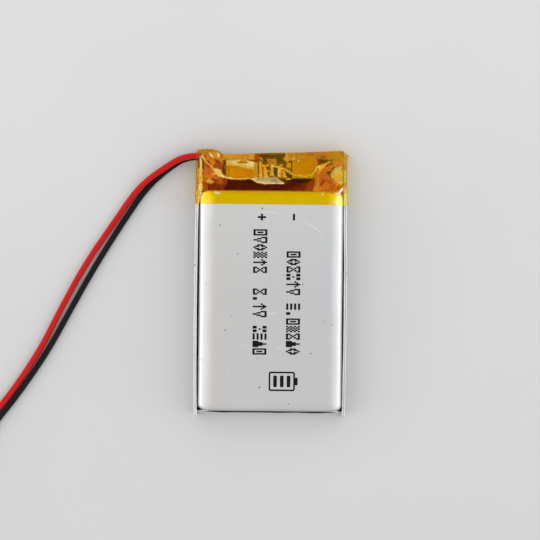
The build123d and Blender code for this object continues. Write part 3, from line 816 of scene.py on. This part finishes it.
# Areas of the outer film: number of layers, haze, then the outline as x, y, x, y ...; a point takes the
# last area that holds it, or else the first row. Many areas paint light and shade: pale, hazy areas of few
# layers are painted highlights and glints, and deep areas of many layers, as over the recess behind the
# cup's head, are painted shade as well as folded film
band_area_outlines = [
    (1, 0.02),
    (1.1, 0, -10.6, 12.8, 10.7, 12.8, 10.7, 15.1, 6, 15.12, -6, 15.12, -10.6, 15.1),
    (1.5, 0.04, -10.4, 14.8, 10.4, 14.75, 10.6, 15.1, 6, 15.12, -6, 15.12, -10.4, 15.1),
    (0.85, 0.05, -11.6, 12.8, -9.3, 12.8, -9.5, 14, -10.1, 14.9, -11.5, 14.9),
    (0.62, 0.14, -11.5, 12.8, -10, 12.8, -10.2, 13.9, -10.8, 14.5, -11.5, 14.4),
    (0.85, 0.05, 9.5, 12.8, 11.6, 12.8, 11.6, 14.9, 10.2, 14.8, 9.6, 14),
    (0.55, 0.18, 10, 12.8, 11.4, 12.8, 11.4, 14.1, 10.8, 14.4, 10.1, 13.8),
    (3.5, 0, -11.2, 15.2, -9.8, 15.08, -6, 15.12, 6, 15.12, 9, 15.05, 9.5, 21.5, -8, 21.5, -8.1, 18.6, -11.5, 20.3),
    (3.8, 0.05, 2.2, 15.5, 3.4, 15.3, 6.8, 16.6, 6.8, 16.85, 4.4, 16.2),
    (1.2, 0.03, -7.9, 17.2, -5.5, 17, -2.6, 17.1, 0, 16.6, 2.5, 16.5, 3.6, 17.3, 6.6, 17.3, 7.8, 18.2, 9.9, 20.3,
     9.9, 22, -8, 22, -8, 20.2),
    (1.7, 0.45, -8.1, 20.2, -2.85, 20.4, -2.85, 21.6, -8.1, 21.6),
    (1.8, 0.24, 3.8, 20.6, 9.9, 20.5, 9.9, 22, 3.9, 22),
    (1.6, 0.45, 2.1, 20.25, 3.9, 20.3, 3.9, 22, 2.2, 22),
    (0.6, 0.46, -7.5, 20.15, -5.6, 20.38, -3, 20.05, -2.4, 19.3, -2.7, 18.6, -4.2, 18.9, -6, 19.3, -7.5, 19.35),
    (0.2, 0.62, -6.9, 20.1, -5.6, 20.3, -3.4, 20, -2.6, 19.3, -3.2, 19.1, -4.4, 19.5, -6.2, 19.6),
    (1.7, 0.02, -5.9, 19.85, -5.2, 20.1, -4.3, 20.05, -3.7, 19.8, -4.5, 19.6, -5.4, 19.65),
    (1.7, 0.05, -6.3, 18.6, -3.8, 18.65, -3.1, 18.4, -2.75, 18.05, -3.4, 17.6, -6.1, 17.6),
    (0.3, 0.26, -2.9, 19.9, -2.35, 19.9, -2.3, 17.4, 0.9, 17.5, 2.1, 16.45, -0.6, 16.5, -2.5, 16.7, -3.5, 17.2,
     -2.9, 17.5),
    (1.1, 0.2, -2.95, 19.8, -2.3, 19.8, -2.25, 17.4, -3, 17.6),
    (2.1, 0.05, -4.6, 18.2, -3.9, 18.5, -2.95, 18.15, -3.9, 17.8),
    (1.5, 0.75, -1.95, 20.1, -1.75, 20.1, -1.45, 17.5, -2.05, 17.4),
    (3.6, 0.55, -1.7, 19.3, -1.35, 19.5, -1.2, 17.5, -1.45, 17.5),
    (1.6, 0.75, -1.45, 19.6, -1.05, 19.4, -0.55, 17.5, -1.2, 17.4),
    (1.5, 0.8, 1, 19.2, 1.6, 19, 1.65, 17.6, 1.1, 17.5),
    (3.4, 0.5, 1.5, 18.8, 1.75, 18.7, 1.75, 17.5, 1.5, 17.5),
    (1.6, 0.75, 1.7, 18.7, 2.1, 18.4, 2.55, 17.5, 1.9, 17.4),
    (2, 0.35, -0.8, 20.5, 0.8, 20.5, 0.9, 19.6, -0.6, 19.7),
    (1.5, 0.55, -0.3, 19.7, 0.45, 19.7, 0.3, 18.9, 0.35, 17.7, -0.3, 17.7, -0.2, 18.9),
    (1, 0.7, 4.25, 20.35, 4.55, 20.35, 4.6, 20.1, 4.3, 20.05),
    (1.9, 0.2, 7.2, 20.3, 7.7, 20.3, 7.7, 19.3, 7.3, 18.2, 7.15, 18.2),
    (3.8, 0.1, 3.8, 15.1, 5.4, 15.1, 6.6, 16.9, 5.2, 16.6),
    (3.6, 0.22, 5.2, 15.1, 7.4, 15.1, 7.5, 17.4, 6.5, 17.1),
    (3, 0.58, 6.9, 15.1, 9, 15, 10.6, 14.85, 11.7, 15.9, 11.4, 16.2, 9.8, 17.2, 9, 18.3, 10.4, 19.6, 7.6, 19,
     7.2, 17.6),
    (3.3, 0.5, 8, 15.4, 9.9, 15.1, 10.5, 16.2, 9.6, 17, 8.6, 17.4, 7.7, 16.3),
    (0.95, 0.5, 11.4, 16.2, 9.8, 17.4, 9.6, 18.1, 10.5, 19.2, 11.65, 19.4, 11.65, 16.5),
    (2.5, 0.42, 10.4, 19.3, 9.9, 20.1, 11, 20.3, 11.7, 20.5, 11.7, 19.5),
    (1.2, 0.15, 9.9, 20.3, 9.9, 22.2, 12, 22.2, 11.75, 20.5),
    (1.3, 0.72, 7.4, 19.3, 9.7, 20.2, 8, 18.5),
    (2.2, 0.85, 7.55, 15.9, 7.72, 15.9, 7.7, 18.6, 7.58, 18.6),
    (0.1, 0.85, 10, 14.75, 10.6, 14.85, 11.7, 15.8, 11.75, 15.3, 11, 14.5),
    (3.6, 0.12, 10.5, 15.7, 11, 16.15, 11.7, 16, 11, 15.3),
    (3.1, 0.5, -11.4, 15.5, -8, 15.4, -7.8, 17.2, -8.6, 18, -9.6, 18.7, -11, 20.4),
    (3.8, 0.24, -9, 16.3, -7.3, 16.3, -7.2, 17, -8.2, 17.6),
    (4, 0.16, -11.1, 15.2, -7.8, 15.2, -7.4, 16.3, -9.2, 16.5, -11.2, 16.6),
    (3.2, 0.55, -11, 18.9, -10.2, 18.3, -10.5, 17.4, -11.1, 17.6),
    (1.6, 0.62, -10.3, 17.2, -9.3, 16.5, -9.9, 16.2, -10.8, 16.6),
    (3.4, 0.4, -9.2, 17.2, -8.1, 17, -8, 16.2, -9, 16.3),
    (2.6, 0.42, -11.2, 20.2, -9.6, 18.8, -8.2, 18.2, -8, 20, -8.4, 21.2, -10.6, 20.8),
    (3.7, 0.32, -9.8, 19, -8.2, 18.3, -8, 19.2, -9.2, 19.6),
    (3.9, 0.22, -11, 19.7, -10.5, 18.9, -9.9, 19.2, -10.4, 20.2),
    (3.9, 0.25, -9.9, 17.3, -9, 16.9, -8.6, 16.4, -9.6, 16.7),
    (3.8, 0.2, -9.4, 20.4, -8.3, 19.9, -8.2, 19.3, -9.3, 19.7),
    (0.5, 0.66, -9.7, 18.6, -9.3, 18.9, -8.4, 18.6, -7.8, 17.6, -7.9, 17.1, -8.7, 17.6),
    (1.1, 0.16, -12.5, 20.6, -12.4, 22.2, -8.2, 22.2, -8.3, 20.9, -9.8, 20.6, -11.2, 20.9),
    (2, 0.22, -11.3, 21.1, -10.4, 20.7, -10, 21, -10.5, 21.7),
    (0.4, 0.02, -12.6, 19.9, -11.35, 20, -11.25, 20.6, -11.5, 21.3, -12.6, 21.35),
    (1.9, 0.35, -10.2, 21.3, -9.4, 20.7, -8.8, 20.8, -9, 21.4, -9.6, 21.5),
    (0.1, 0.85, -10.3, 21.5, -9.5, 20.6, -9.9, 20.7, -10.2, 21.1),
    (0.1, 0.85, -9.1, 21.5, -8.6, 21, -8.7, 20.4, -8.9, 21),
    (1.4, 0.7, -9.9, 17.9, -9.3, 18.3, -9.1, 17.9, -9.8, 17.6),
    (1.8, 0.32, -12.6, 12.8, -12.1, 12.8, -12.1, 19.8, -12.6, 19.8),
    (0.6, 0.62, -11.9, 12.9, -11.4, 14.6, -11.3, 17, -11.5, 19.9, -11.8, 20.8, -11.95, 16, -12.1, 12.9),
    (0.8, 0.25, 11.75, 12.8, 12.9, 12.8, 12.9, 21.4, 11.9, 21.45),
    (0.35, 0.1, 11.95, 12.8, 12.3, 12.8, 12.35, 20.9, 12, 21.1),
    (0.2, 0.8, -9.4, 14.6, -8.4, 14.55, -8.5, 14.8, -9.2, 15),
    (0.2, 0.8, 8.1, 14.9, 8.5, 14.6, 8.6, 14.35, 8.2, 14.5),
]
# Edges of the inner film and its folds, drawn on the outer film as pale ribbons: painted highlights
inner_edge = [
    (-11.5, 20.95), (-10.95, 20.1), (-10.3, 19.45), (-9.6, 18.85), (-9.1, 18.1), (-8.75, 17.6), (-7.9, 17.45),
    (-6.6, 17.2), (-5.5, 17.08), (-4.4, 17.15), (-3.75, 17.3), (-3.1, 17), (-2.4, 16.65), (-1.2, 16.45),
    (0.3, 16.42), (2.05, 16.38),
]
second_edge = [
    (-0.2, 19.5), (0.6, 19.3), (1.6, 19), (2.4, 18.6), (3.2, 18.1), (4.2, 17.8), (5.4, 17.68), (6.4, 17.85),
    (7.05, 18.3), (7.45, 19.2),
]
board_tape_edge = [
    (-11.75, 20.6), (-11.4, 20.2), (-10.85, 19.3), (-10.3, 18.8), (-9.6, 18.35), (-9, 17.7), (-8.5, 17.3),
    (-7.6, 17.3), (-6.4, 17.1), (-5.3, 16.98), (-4.3, 17.1), (-3.7, 17.3), (-3.1, 17.1), (-2.4, 16.75),
    (-1.2, 16.55), (0.2, 16.5), (2, 16.4), (0.8, 17.5), (-0.2, 19.3), (0.7, 19.15), (1.6, 18.9), (2.5, 18.5),
    (3.3, 18.05), (4.2, 17.7), (5.2, 17.62), (6.3, 17.75), (7, 18.1), (7.6, 18.75), (7.9, 19.4), (8.6, 19.5),
]


def pairs(numbers):
    return list(zip(numbers[::2], numbers[1::2]))


def ribbon(line, width):
    """The outline of a narrow strip along a line."""
    upper, lower = [], []
    for i, (x, y) in enumerate(line):
        ahead = Vector(line[min(i + 1, len(line) - 1)]) - Vector(line[max(i - 1, 0)])
        ahead.normalize()
        share = width / 2 * (1 + 0.35 * math.sin(3.1 * i))
        upper.append((x - ahead.y * share, y + ahead.x * share))
        lower.append((x + ahead.y * share, y - ahead.x * share))
    return upper + lower[::-1]


band_areas = [(layers_and_shade, haze_and_glint, pairs(numbers)) for layers_and_shade, haze_and_glint, *numbers in band_area_outlines]
# Pale ribbons along the inner film's edges: painted highlights.
band_areas.append((0.35, 0.80, ribbon(inner_edge, 0.17)))
band_areas.append((0.9, 0.70, ribbon(second_edge, 0.15)))

BAND_SIDE_X = 12.46  # the film's middle at its two sides
LEAD_EXIT_Y = (19.5, 21.66)  # the part of the left side that is open round the leads
TAPE_FLOOR_Z = 0.04  # the film's middle under the cell
PAINTED_ABOVE_Z = 2.0  # the areas are seen from above; the walls under this height are one clean layer
AREA_WARP = 0.12  # how far the areas' edges wander
AREA_BLUR = 0.05
CREASE_RADIUS = 0.13


def inside(x, y, outline):
    """Whether a point is inside an outline, by counting the edges to its right."""
    odd = False
    for (ax, ay), (bx, by) in zip(outline, outline[1:] + outline[:1]):
        if (ay > y) != (by > y) and x < (bx - ax) * (y - ay) / (by - ay) + ax:
            odd = not odd
    return odd


def area_at(x, y, areas):
    found = areas[0][:2]
    for layers_and_shade, haze_and_glint, outline in areas[1:]:
        if inside(x, y, outline):
            found = (layers_and_shade, haze_and_glint)
    return found


class Crumple:
    """Height over (x, y): flat facets between the creases, a little rounded where they meet."""

    def __init__(self, creases):
        flat = [Vector(crease[:2]) for crease in creases]
        result = geometry.delaunay_2d_cdt(flat, [], [], 0, 1e-5)
        self.points = result[0]
        self.triangles = result[2]
        self.heights = [creases[sources[0]][2] for sources in result[3]]

    def flat_height(self, x, y):
        for a, b, c in self.triangles:
            pa, pb, pc = self.points[a], self.points[b], self.points[c]
            area = (pb.x - pa.x) * (pc.y - pa.y) - (pc.x - pa.x) * (pb.y - pa.y)
            if abs(area) < 1e-9:
                continue
            wb = ((x - pa.x) * (pc.y - pa.y) - (pc.x - pa.x) * (y - pa.y)) / area
            wc = ((pb.x - pa.x) * (y - pa.y) - (x - pa.x) * (pb.y - pa.y)) / area
            if wb >= -1e-6 and wc >= -1e-6 and wb + wc <= 1 + 1e-6:
                ha, hb, hc = self.heights[a], self.heights[b], self.heights[c]
                return ha + wb * (hb - ha) + wc * (hc - ha)
        nearest = min(range(len(self.points)), key=lambda k: (self.points[k] - Vector((x, y))).length)
        return self.heights[nearest]

    def height(self, x, y):
        r = CREASE_RADIUS
        around = [(0, 0), (r, 0), (-r, 0), (0, r), (0, -r)]
        height = sum(self.flat_height(x + dx, y + dy) for dx, dy in around) / 5
        below = cup_surface(x, y)
        return height if below is None else max(height, below + 0.07)


def film_mesh(outline, crumple, step, lift=0.0, wrinkle=0.03):
    """A crumpled film: fine triangles within the outline."""
    points = [Vector(point) for point in outline]
    edges = [(i, (i + 1) % len(points)) for i in range(len(points))]
    xs, ys = zip(*outline)
    for row, y in enumerate(spread(min(ys), max(ys), step)):
        for x in spread(min(xs), max(xs), step):
            x += (row % 2) * step / 2
            if inside(x, y, outline):
                points.append(Vector((x, y)))
    result = geometry.delaunay_2d_cdt(points, edges, [], 0, 1e-4)
    faces = []
    for face in result[2]:
        middle = sum((result[0][k] for k in face), Vector((0, 0))) / len(face)
        if inside(middle.x, middle.y, outline):
            faces.append(tuple(face))
    vertices = []
    for x, y in result[0]:
        away = min(1.0, max(0.0, y - 15.0))  # no fine wrinkles where the film is stretched over the cup
        fine = wrinkle * away * (wobble(x, y, 0, 0.9) + 0.5 * wobble(x, y, 4, 0.35))
        vertices.append((x, y, crumple.height(x, y) + fine + lift))
    return vertices, faces


def paint_areas(piece, areas):
    """Stores each point's number of layers and haze, which also hold painted shade and painted highlights."""
    mesh = piece.data
    layers_and_shade = mesh.attributes.new("layers_and_shade", "FLOAT", "POINT")
    haze_and_glint = mesh.attributes.new("haze_and_glint", "FLOAT", "POINT")
    near = [(dx, dy) for dx in (-AREA_BLUR, AREA_BLUR) for dy in (-AREA_BLUR, AREA_BLUR)]
    for vertex in mesh.vertices:
        x, y, z = vertex.co / MM
        found = [(1.2 + 0.3 * wobble(x, y, z, 2.0), 0.04)]
        if z > PAINTED_ABOVE_Z:
            x += AREA_WARP * wobble(x, y, 0, 0.8, 11.0)
            y += AREA_WARP * wobble(x, y, 3, 0.8, 15.0)
            found = [area_at(x + dx, y + dy, areas) for dx, dy in near]
        layers_and_shade.data[vertex.index].value = sum(f[0] for f in found) / len(found)
        haze_and_glint.data[vertex.index].value = sum(f[1] for f in found) / len(found)


def wall_below(rim, levels, sway=0.05):
    """A strip of film hanging from a line of points, down through the given shares of its height."""
    rows = []
    for share in levels:
        row = []
        for x, y, z in rim:
            height = z + (TAPE_FLOOR_Z - z) * share
            move = sway * math.sin(math.pi * share) * wobble(x, y, height, 1.7, 6.0)
            row.append((x + move, y + move, height))
        rows.append(row)
    return sheet(rows)


def resampled(line, step):
    """A polyline with a point at least every step."""
    made = [line[0]]
    for a, b in zip(line, line[1:]):
        count = max(1, math.ceil((Vector(b) - Vector(a)).length / step))
        made += [tuple(Vector(a).lerp(Vector(b), i / count)) for i in range(1, count + 1)]
    return made


def make_band_tape(material):
    """The outer film: a hood over the head, its two sides, its end and its flat back."""
    crumple = Crumple(band_creases + band_outline)
    outline = resampled([point[:2] for point in band_outline + band_outline[:1]], 0.3)[:-1]
    hood = film_mesh(outline, crumple, 0.16)
    rim = hood[0][: len(outline)]
    start = rim.index(next(p for p in rim if abs(p[0] - BAND_SIDE_X) < 1e-6))
    ring = rim[start:] + rim[:1]
    hole = [p for p in ring if p[0] < 0.16 - BAND_SIDE_X and LEAD_EXIT_Y[0] < p[1] < LEAD_EXIT_Y[1]]
    first = ring.index(hole[0])
    last = ring.index(hole[-1])
    levels = [0, 0.12, 0.3, 0.5, 0.7, 0.88, 1.0]
    back = [(x, y, TAPE_FLOOR_Z) for x, y in outline]
    shapes = [
        hood,
        wall_below(ring[: first + 1], levels),
        wall_below(ring[first : last + 1], [0, 0.06, 0.12]),
        wall_below(ring[last:], levels),
        (back, [tuple(range(len(back)))]),
    ]
    tape = add_piece("band_tape", joined(shapes), material, "polyimide_tape")
    tidy_mesh(tape, 0.01, triangles=True)
    paint_areas(tape, band_areas)
    thicken(tape, 0.05)
    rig.replaces(tape, "band_tape")
    return crumple


def make_board_tape(material, crumple):
    """The inner film, its wavy free edge drawn as a pale line: a painted highlight."""
    edge = board_tape_edge
    end = [(9.6, 21.2, 2.66), (4.0, 21.24, 2.66), (-4.0, 21.2, 2.64), (-8.2, 21.16, 2.66), (-11.6, 21.3, 2.7)]
    outline = resampled(edge + [point[:2] for point in end] + edge[:1], 0.3)[:-1]
    # A pale strip along the free edge: a painted highlight.
    painted_edge_highlight = edge + [(x, y + 0.2) for x, y in edge][::-1]
    shapes = [
        film_mesh(outline, crumple, 0.35, lift=-0.13, wrinkle=0.02),
        wall_below(resampled(end, 0.4), [0, 0.2, 0.5, 0.75, 0.9], 0.03),
    ]
    tape = add_piece("board_tape", joined(shapes), material, "polyimide_tape")
    paint_areas(tape, [(1.0, 0.05, []), (0.15, 0.78, painted_edge_highlight)])
    thicken(tape, 0.04)
    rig.replaces(tape, "board_tape")


# ---- Marks
# Plain dot patterns, 7 rows high and 5 wide, that spell nothing
patterns = {
    "diamond": "..#.. .#.#. ##.## #...# ##.## .#.#. ..#..",
    "hourglass": "##### #...# .#.#. ..#.. .#.#. #...# #####",
    "bars": "##### ..... ##### ..... ##### ..... #####",
    "lattice": "#.#.# .#.#. #.#.# .#.#. #.#.# .#.#. #.#.#",
    "corners": "##.## ##.## ..... ..#.. ..... ##.## ##.##",
    "arrow": "..#.. .###. #.#.# ..#.. ..#.. ..#.. ..#..",
    "kite": "##### #...# #...# .#.#. .#.#. ..#.. ..#..",
    "frame": "##### #...# #.#.# #.#.# #.#.# #...# #####",
    "peak": "..#.. ..#.. .###. .###. ##### ##### #####",
    "dot": "..... ..... ..... ..... ..... .##.. .##..",
}
# Each line of marks: x of its middle, y where it starts, and its patterns; the lines run towards the foot
mark_lines = [
    (-1.72, 8.9, "frame kite diamond lattice arrow hourglass"),
    (-1.72, -0.75, "hourglass dot arrow kite"),
    (-1.70, -6.85, "corners bars peak frame"),
    (3.72, 5.35, "frame diamond hourglass corners arrow kite"),
    (3.74, -3.15, "bars dot frame lattice hourglass peak diamond"),
]
MARK_PITCH = 1.22
MARK_HEIGHT = 2.25
ROW_STEP = MARK_HEIGHT / 7
DOT_STEP = MARK_PITCH * 0.8 / 5
SIGN_Y = -15.95


def ink_spot(x, y, half_x, half_y):
    """A blot of ink on the front face: a flat bar with clipped corners."""
    ring = []
    clip = 0.35 * min(half_x, half_y)
    for sx, sy in ((1, 1), (-1, 1), (-1, -1), (1, -1)):
        one, two = (sx * (half_x - clip), sy * half_y), (sx * half_x, sy * (half_y - clip))
        ring += [two, one] if sx * sy > 0 else [one, two]
    rows = []
    for lift in (-0.02, 0.012):
        row = []
        for dx, dy in ring:
            rough = 0.02 * wobble(x + dx, y + dy, lift, 0.12)
            px, py = x + dx + rough, y + dy - rough
            row.append((px, py, FRONT_Z + face_wave(px, py) + lift))
        rows.append(row)
    return bar(rows)


def make_marks(material):
    """Polarity signs, rows of plain patterns and a battery sign, printed to be read from the right."""
    spots = []
    for middle, start, names in mark_lines:
        for k, name in enumerate(names.split()):
            for row, cells in enumerate(patterns[name].split()):
                x = middle + MARK_HEIGHT / 2 - (row + 0.5) * ROW_STEP
                for column, cell in enumerate(cells):
                    if cell == "#":
                        y = start - k * MARK_PITCH - (column + 0.5) * DOT_STEP - 0.1
                        spots.append((x, y, ROW_STEP * 0.56, DOT_STEP * 0.68))
    spots += [(-1.5, 10.8, 0.68, 0.17), (-1.5, 10.8, 0.17, 0.56), (3.72, 10.85, 0.18, 0.54)]  # plus and minus
    spots += [(2.0, y, 2.0, 0.14) for y in (-14.5, -17.4)]
    spots += [(x, SIGN_Y, 0.14, 1.45) for x in (0.0, 4.0)]
    spots += [(x, SIGN_Y, 0.3, 0.95) for x in (0.9, 2.0, 3.1)]
    spots.append((4.35, SIGN_Y, 0.24, 0.62))
    add_piece("printed_marks", joined([ink_spot(*spot) for spot in spots]), material, smooth=False)


# ---- Parts kept from the frame
# The parts, then plain_material's values: name, colour, roughness, metallic, grain, spread, height
finishes = [
    ("anode_sheet", "anode_coating", (0.03, 0.03, 0.035), 0.75, 0.0, 9.0, 0.3, 0.01),
    ("cathode_sheet", "cathode_coating", (0.05, 0.05, 0.05), 0.8, 0.0, 9.0, 0.3, 0.01),
    ("inner_separator", "separator_film", (0.80, 0.80, 0.79), 0.45, 0.0, 5.0, 0.04),
    ("outer_separator", "outer_separator_film", (0.80, 0.80, 0.79), 0.45, 0.0, 5.0, 0.04),
    ("roll_end_tape", "green_tape", (0.05, 0.30, 0.12), 0.35, 0.0, 3.0, 0.1),
    ("positive_tab", "aluminium_tab", (0.80, 0.79, 0.78), 0.34, 1.0, 4.0, 0.08, 0.006),
    ("positive_tab_film", "tab_film", (0.75, 0.75, 0.72), 0.4, 0.0, 4.0, 0.06),
    ("negative_tab_film", "second_tab_film", (0.75, 0.75, 0.72), 0.4, 0.0, 4.0, 0.06),
    ("terrace_insulator", "insulating_paper", (0.11, 0.03, 0.009), 0.7, 0.0, 2.5, 0.35, 0.02),
    ("circuit_board", "board_laminate", (0.045, 0.07, 0.035), 0.35, 0.0, 3.0, 0.3, 0.01),
    ("positive_nickel_plate negative_nickel_plate negative_tab",
     "nickel", (0.66, 0.62, 0.55), 0.30, 1.0, 4.0, 0.1, 0.006),
    ("protection_chip", "chip_resin", (0.015, 0.014, 0.014), 0.45, 0.0, 8.0, 0.3, 0.01),
    ("chip_leads component_end_caps", "bright_tin", (0.90, 0.88, 0.85), 0.16, 1.0, 7.0, 0.08, 0.02),
    ("filter_resistor", "resistor_ceramic", (0.02, 0.02, 0.022), 0.4, 0.0, 6.0, 0.3),
    ("filter_capacitor", "capacitor_ceramic", (0.30, 0.20, 0.12), 0.45, 0.0, 6.0, 0.15),
    ("red_solder_joint", "solder", (0.82, 0.81, 0.80), 0.22, 1.0, 3.0, 0.08, 0.04),
    ("black_solder_joint", "second_solder", (0.82, 0.81, 0.80), 0.22, 1.0, 3.0, 0.08, 0.04),
]


def finish_kept_parts():
    """Procedural finishes on the parts whose frame shapes are right."""
    for parts, *values in finishes:
        material = plain_material(*values)
        for name in parts.split():
            for place in frame["nodes"][name].material_slots:
                place.material = material


# ---- Stage
def make_stage():
    mesh = bpy.data.meshes.new("table_top")
    reach = 3.0  # metres
    corners = [(-reach, -reach, 0), (reach, -reach, 0), (reach, reach, 0), (-reach, reach, 0)]
    mesh.from_pydata(corners, [], [(0, 1, 2, 3)])
    mesh.materials.append(floor_material())
    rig.stage(add_object("table_top", mesh))


def make_softbox(name, place, power):
    """A long, low lamp that faces the cell."""
    light = bpy.data.lights.new(name, "AREA")
    light.shape = "RECTANGLE"
    light.size, light.size_y = 0.7, 0.2
    light.energy = power
    lamp = add_object(name, light)
    lamp.location = place
    lamp.rotation_euler = (-Vector(place)).to_track_quat("-Z", "Y").to_euler()
    lamp.visible_camera = False


def make_lights():
    """A softbox at each side, and a sky that is brighter towards its sides than overhead."""
    make_softbox("left_softbox", (-0.60, 0.02, 0.20), 0.30)
    make_softbox("right_softbox", (0.60, 0.06, 0.20), 0.33)
    world = bpy.data.worlds.new("studio")
    bpy.context.scene.world = world
    world.use_nodes = True
    sky = Nodes(world.node_tree, "Generated")
    aside = sky.maths("POWER", sky.maths("ABSOLUTE", sky.axis("X")), 0.7)
    strength = sky.maths("MULTIPLY_ADD", aside, 0.95, 0.72)
    sky.set(sky.tree.nodes["Background"], Color=(1.0, 0.998, 0.995), Strength=strength)
    bpy.context.scene.view_settings.view_transform = "Standard"


make_camera()
materials = {
    "red_insulation": insulation_material("red_insulation", (0.47, 0.004, 0.003), (0.48, 0.02, 0.016)),
    "black_insulation": insulation_material("black_insulation", (0.0015, 0.0015, 0.0025), (0.007, 0.007, 0.009)),
    "tinned_copper": plain_material("tinned_copper", (0.72, 0.71, 0.69), 0.32, 1.0, 5.0),
}
foil = foil_material("foil_laminate", (0.605, 0.592, 0.578), (0.575, 0.588, 0.608), 0.28)
# The side folds take a brighter copy of the foil's colour: painted light on the folds.
fold = foil_material("folded_foil", (0.76, 0.755, 0.75), (0.76, 0.765, 0.775), 0.17)
film = film_material()
make_leads(materials)
make_cup(foil)
for side in (-1, 1):
    make_fold(side, fold)
    make_gusset(side, foil)
make_back(foil)
make_terrace(foil)
make_foot_lip(foil)
make_marks(plain_material("black_ink", (0.006, 0.006, 0.008), 0.7, 0.0, 9.0, 0.3, Specular_IOR_Level=0.1))
finish_kept_parts()
make_board_tape(film, make_band_tape(film))
make_stage()
make_lights()

json.dump({"cad": [list(c) for c in cad_bounds], "visual": [list(c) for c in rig.bounds()]}, open("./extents.json", "w"))
